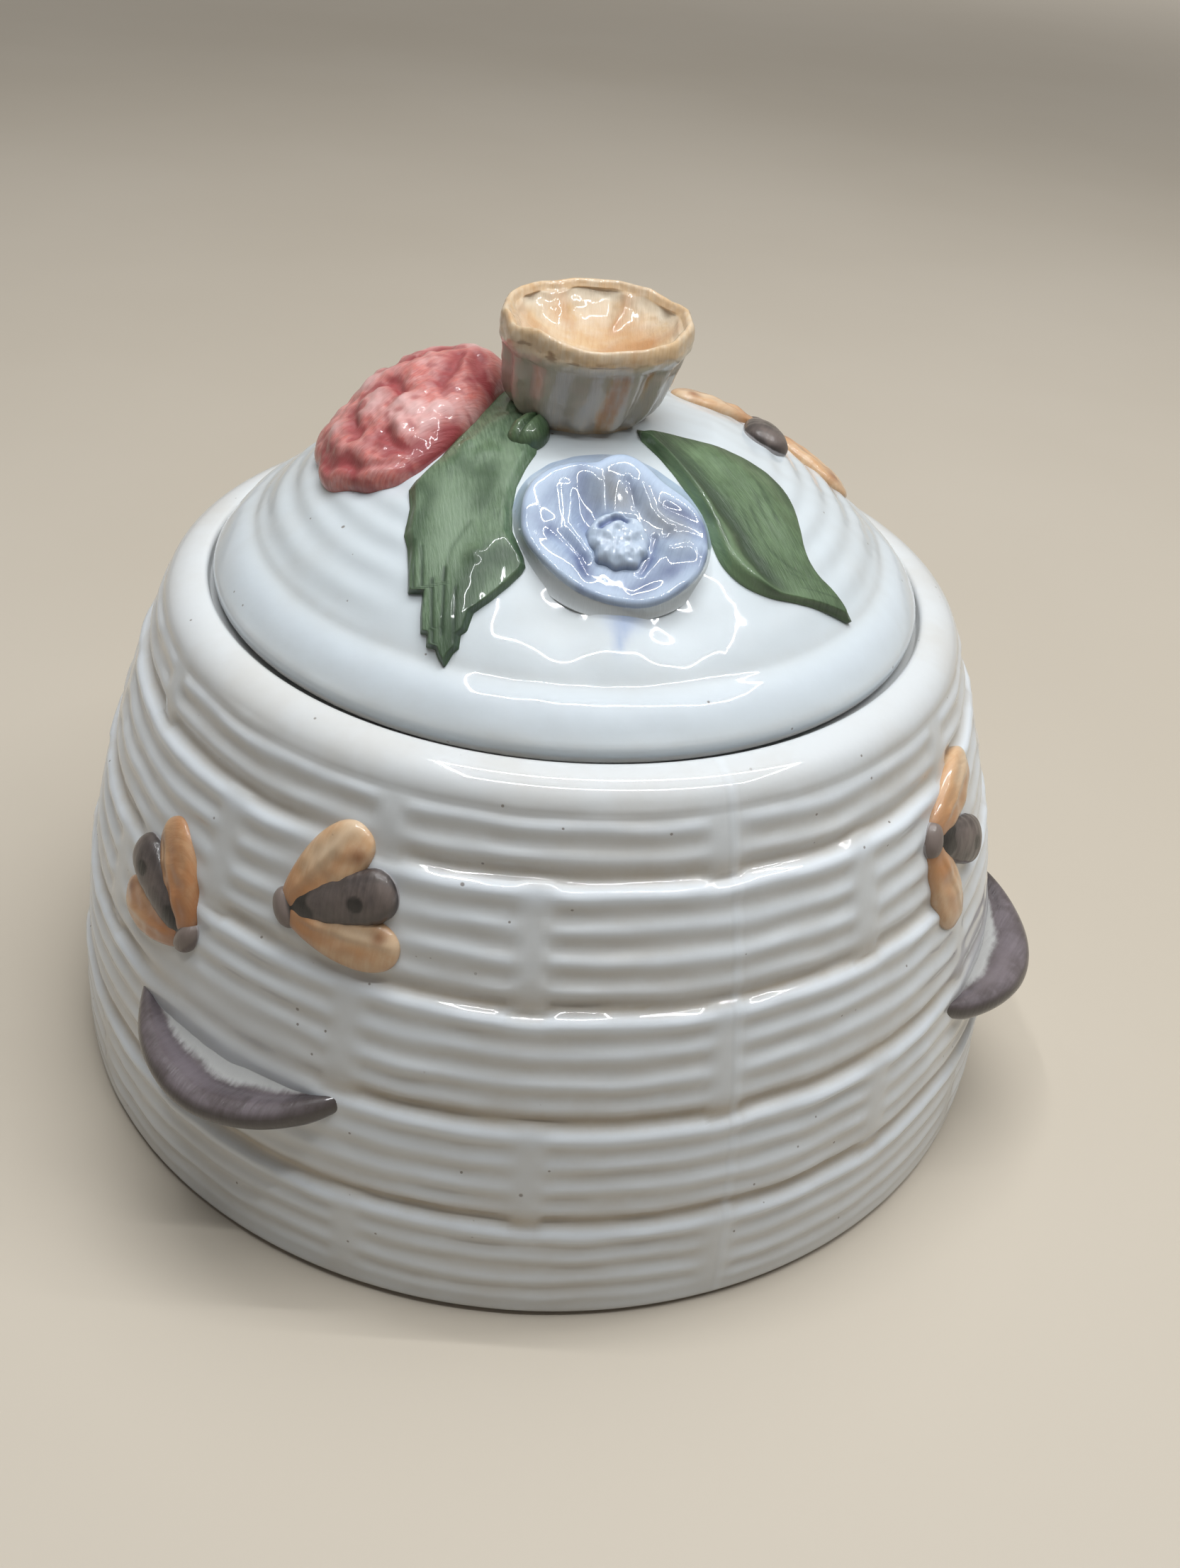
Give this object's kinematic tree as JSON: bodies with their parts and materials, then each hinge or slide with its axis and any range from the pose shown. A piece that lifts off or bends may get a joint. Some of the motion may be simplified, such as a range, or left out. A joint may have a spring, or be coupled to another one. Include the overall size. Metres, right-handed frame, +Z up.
{
  "type": "honey pot with lift-off lid",
  "caption": "Squat glazed pot shaped like a coiled straw beehive, with a domed lift-off lid, a flared knob, relief flowers and leaves, and relief bees and landing ledges on its wall.",
  "frame": {"origin": "centre of the pot's round foot, on the plane that it stands on", "axes": "+Z up along the pot's axis, -Y towards the front with the blue flower, +X to the right seen from the front"},
  "size_m": [0.1319, 0.1302, 0.1],
  "materials": {
    "glaze": "cool off-white gloss glaze",
    "purple_grey": "purple-grey underglaze brushwork under clear gloss",
    "bee_grey": "charcoal underglaze with darker spots under clear gloss",
    "wing_orange": "orange-tan underglaze wash under clear gloss",
    "straw": "cream with brown streaks under clear gloss",
    "rose_pink": "coral pink pooled in the folds under clear gloss",
    "petal_blue": "pale blue wash under clear gloss",
    "petal_pale": "very pale blue under clear gloss",
    "leaf_green": "brushed mid green under clear gloss",
    "leaf_dark": "brushed dark green under clear gloss"
  },
  "bodies": {
    "pot": {"pot_body": "glaze", "landing_ledge_left": "purple_grey", "landing_ledge_right": "purple_grey", "bee_left_body": "bee_grey", "bee_left_wings": "wing_orange", "bee_front_body": "bee_grey", "bee_front_wings": "wing_orange", "bee_right_body": "bee_grey", "bee_right_wings": "wing_orange"},
    "lid": {"lid_shell": "glaze", "lid_knob": "straw", "pink_rose": "rose_pink", "blue_flower_petals": "petal_blue", "blue_flower_centre": "petal_pale", "leaf_left": "leaf_green", "leaf_right": "leaf_dark", "leaf_bud": "leaf_dark", "bee_lid_body": "bee_grey", "bee_lid_wings": "wing_orange"}
  },
  "joints": [
    {"name": "lid_lift", "type": "slide", "parent": "pot", "child": "lid", "axis": [0, 0, 1], "range_m": [0, 0.045]}
  ]
}
